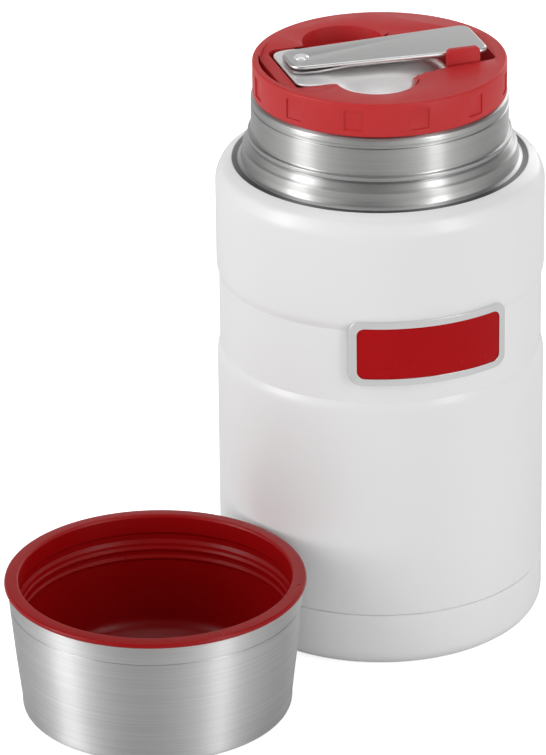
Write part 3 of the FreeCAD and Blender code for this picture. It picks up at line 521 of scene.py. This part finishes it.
def make_pan():
    pan = lathe("coated_base", [
        (51.2, 19.15), (51.7, 19.15, 0.2), (52.0, 18.85, 0.3), (52.0, 0.05, 7.9), (38.0, 0.05, 0.5),
        (38.0, 1.4, 0.3), (6.0, 1.4, 1.0), (4.0, 3.4, 1.0), (1.5, 3.4), (1.5, 4.2), (4.4, 4.2),
        (6.4, 2.2), (38.8, 2.2), (38.8, 0.9), (44.0, 0.9), (51.2, 8.0), (51.2, 19.15)])
    finish_piece(pan, ["base_pan"], "jar", "white")


# Faces of the collar that lie in shade, where a darker copy of the neck steel paints the shade: the
# ledge at its foot and the groove over its cone
LEDGE_RADIUS = 44.9
LEDGE_TOP = 155.6
GROOVE_FOOT = 163.0
GROOVE_TOP = 163.5


def make_neck():
    neck = lathe("turned_neck", [
        (46.6, 154.6), (46.6, 155.3), (46.25, 155.3, 0.1), (44.9, 155.4, 0.5), (43.8, 156.1, 0.9),
        (43.4, 157.8, 1.0), (43.25, 160.2, 0.3), (42.6, 160.9, 0.5), (41.6, 162.6, 0.6),
        (40.9, 163.3, 0.1), (41.55, 163.55, 0.15), (41.6, 164.8, 0.3), (40.75, 165.0, 0.1),
        (40.55, 165.35, 0.1), (40.5, 173.7, 0.25), (40.1, 174.0, 0.15), (40.1, 174.8, 0.15),
        (40.5, 175.05, 0.25), (40.35, 176.7, 0.7), (39.3, 177.4, 0.3), (39.2, 177.4), (39.2, 176.2),
        (39.3, 175.4), (39.3, 164.7), (40.3, 162.6), (42.3, 160.2), (42.7, 157.0), (44.4, 154.6),
        (46.6, 154.6)])
    finish_piece(neck, ["neck_collar"], "jar", "neck")
    # The second slot holds the painted shade of the ledge and the groove
    neck.data.materials.append(FINISHES["ledge"])
    for face in neck.data.polygons:
        radius = face.center.xy.length / MM
        height = face.center.z / MM
        on_ledge = radius > LEDGE_RADIUS and height < LEDGE_TOP
        if on_ledge or GROOVE_FOOT < height < GROOVE_TOP:
            face.material_index = 1


def make_vessel():
    vessel = lathe("inner_vessel_wall", [
        (38.6, 177.3), (38.5, 176.9, 0.2), (38.5, 150.0, 3.0), (41.5, 143.5, 3.0), (41.5, 13.0, 10.0),
        (0, 13.0), (0, 12.3), (42.2, 12.3, 10.6), (42.2, 143.8, 3.0), (39.2, 150.3, 3.0),
        (39.2, 177.3), (38.6, 177.3)], steps=128)
    finish_piece(vessel, ["inner_vessel"], "jar", "vessel")


# Stopper
def make_stopper():
    """The CAD moulding with rounded edges and wider rounds where the scoops meet the recess."""
    scoop_ends = [(x, y) for x in (-19.5, 6.7) for y in (-16.6, 16.6)]
    top = softened("stopper_moulding", "stopper_top", 0.35, 32, scoop_ends, 3.0)
    finish_piece(top, ["stopper_top"], "stopper", "red", 40)


# Spoon: X, crown height, drop of the rim below the crown and half width, in millimetres
BOWL_STATIONS = [
    (-31.2, 188.45, 0.02, 11.4), (-30.6, 188.45, 0.02, 13.4), (-29.4, 188.45, 0.02, 14.8),
    (-27.6, 188.45, 0.02, 15.7), (-25.0, 188.45, 0.03, 16.0), (-22.6, 188.45, 0.12, 16.1),
    (-20.6, 188.45, 0.5, 16.1), (-18.6, 188.45, 1.2, 16.6), (-16.4, 188.45, 2.1, 18.0),
    (-14.0, 188.45, 2.9, 19.8), (-11.4, 188.45, 3.6, 21.4), (-8.4, 188.45, 4.1, 22.5),
    (-5.0, 188.45, 4.2, 22.9), (-1.6, 188.45, 4.2, 22.4), (1.8, 188.45, 4.2, 20.9),
    (5.0, 188.4, 4.15, 18.4), (8.0, 188.3, 4.4, 16.1), (11.0, 188.0, 4.0, 14.3),
    (13.8, 187.4, 3.4, 12.6), (16.2, 186.5, 2.6, 10.6), (18.4, 185.5, 1.6, 8.2),
    (19.9, 184.6, 0.8, 5.6), (20.7, 184.05, 0.3, 3.0), (21.0, 183.9, 0.1, 0.6)]
BOWL_HALVES = 12
BOWL_CROWN = 1.9
SHEET = 0.8


def make_spoon():
    """Extrude the neck's edge along the spoon, section by section, crowned over its width."""
    def section(share):
        return share * first[3] * MM, -first[2] * MM * abs(share) ** BOWL_CROWN

    clean_slate()
    bpy.ops.mesh.primitive_plane_add(size=MM)
    spoon = bpy.context.object
    spoon.name = "spoon_and_bowl"
    edit()
    bpy.ops.mesh.select_all(action="SELECT")
    bpy.ops.mesh.merge(type="CENTER")
    first = BOWL_STATIONS[0]
    across = [index / BOWL_HALVES for index in range(-BOWL_HALVES, BOWL_HALVES + 1)]
    start = section(across[0])
    bpy.ops.transform.translate(value=(first[0] * MM, start[0], first[1] * MM + start[1]))
    for before, share in zip(across, across[1:]):
        old, new = section(before), section(share)
        bpy.ops.mesh.extrude_vertices_move(
            TRANSFORM_OT_translate={"value": (0, new[0] - old[0], new[1] - old[1])})
    bpy.ops.mesh.select_all(action="SELECT")
    for before, station in zip(BOWL_STATIONS, BOWL_STATIONS[1:]):
        bpy.ops.mesh.extrude_edges_move(TRANSFORM_OT_translate={
            "value": ((station[0] - before[0]) * MM, 0, (station[1] - before[1]) * MM)})
        bpy.ops.transform.resize(
            value=(1, station[3] / before[3], station[2] / before[2]),
            center_override=(station[0] * MM, 0, station[1] * MM))
    close_up()
    edit(False)
    wall = spoon.modifiers.new("sheet", "SOLIDIFY")
    wall.thickness = SHEET * MM
    wall.offset = 0
    soft = spoon.modifiers.new("smooth", "SUBSURF")
    soft.levels = 2
    soft.render_levels = 2
    for modifier in (wall.name, soft.name):
        bpy.ops.object.modifier_apply(modifier=modifier)
    edit()
    bpy.ops.mesh.select_all(action="SELECT")
    bpy.ops.transform.translate(value=(0, 0, -SHEET / 2 * MM))
    bpy.ops.mesh.normals_make_consistent(inside=False)
    edit(False)
    finish_piece(spoon, ["spoon_bowl"], "spoon", "spoon", 50)


def make_handle():
    handle = softened("spoon_handle_strip", "spoon_handle", 0.18)
    finish_piece(handle, ["spoon_handle"], "spoon_grip", "strip", 30)


# Badge
def make_badge():
    bezel = softened("badge_frame", "badge_bezel", 0.35)
    finish_piece(bezel, ["badge_bezel"], "jar", "bezel", 40)


# Cup
def make_cup():
    centre = (CUP_CENTRE.x, CUP_CENTRE.y)
    shell = lathe("cup_wall", [
        (0, 1.2), (31.8, 1.2, 1.0), (33.0, 0.0, 0.6), (42.3, 0.0, 5.0), (42.5, 5.0, 3.0),
        (44.1, 19.0, 30.0), (45.68, 36.0, 0.25), (45.45, 36.15), (45.45, 36.3), (45.72, 36.45, 0.25),
        (46.2, 42.35), (45.6, 42.35), (45.1, 36.2), (43.5, 19.0), (41.9, 5.6, 3.0), (41.0, 0.6, 4.0),
        (33.2, 0.6), (32.0, 1.8), (0, 1.8)], centre)
    finish_piece(shell, ["cup_shell"], "cup", "cup")
    liner = lathe("cup_lining", [
        (0, 1.85), (31.0, 1.85), (36.5, 1.85), (41.8, 6.6, 4.0), (43.4, 19.0), (45.0, 36.2),
        (45.5, 42.45), (46.9, 42.45, 0.3), (47.2, 42.9, 0.3), (46.9, 44.0, 0.7), (43.0, 44.2, 0.6),
        (42.6, 43.4, 0.5), (42.6, 38.0, 0.6), (43.25, 37.2, 0.4), (43.25, 35.4, 0.4),
        (42.5, 34.4, 0.5), (42.35, 33.3, 0.3), (41.8, 32.7, 0.3), (41.75, 32.2, 0.3),
        (42.25, 31.6, 0.3), (42.15, 30.4, 0.3), (41.5, 29.8, 0.3), (41.45, 29.3, 0.3),
        (41.95, 28.6, 0.4), (41.1, 19.0, 20.0), (39.6, 7.3, 6.0), (34.0, 3.6, 6.0), (0, 3.4)], centre)
    # The lining takes the darker red, which paints the shade inside the cup
    finish_piece(liner, ["cup_liner"], "cup", "liner")


add_camera()
add_lights()
add_world()
add_floor()
dress_nodes()
make_coat()
make_pan()
make_neck()
make_vessel()
make_stopper()
make_spoon()
make_handle()
make_badge()
make_cup()

bpy.context.scene.view_settings.view_transform = "Standard"
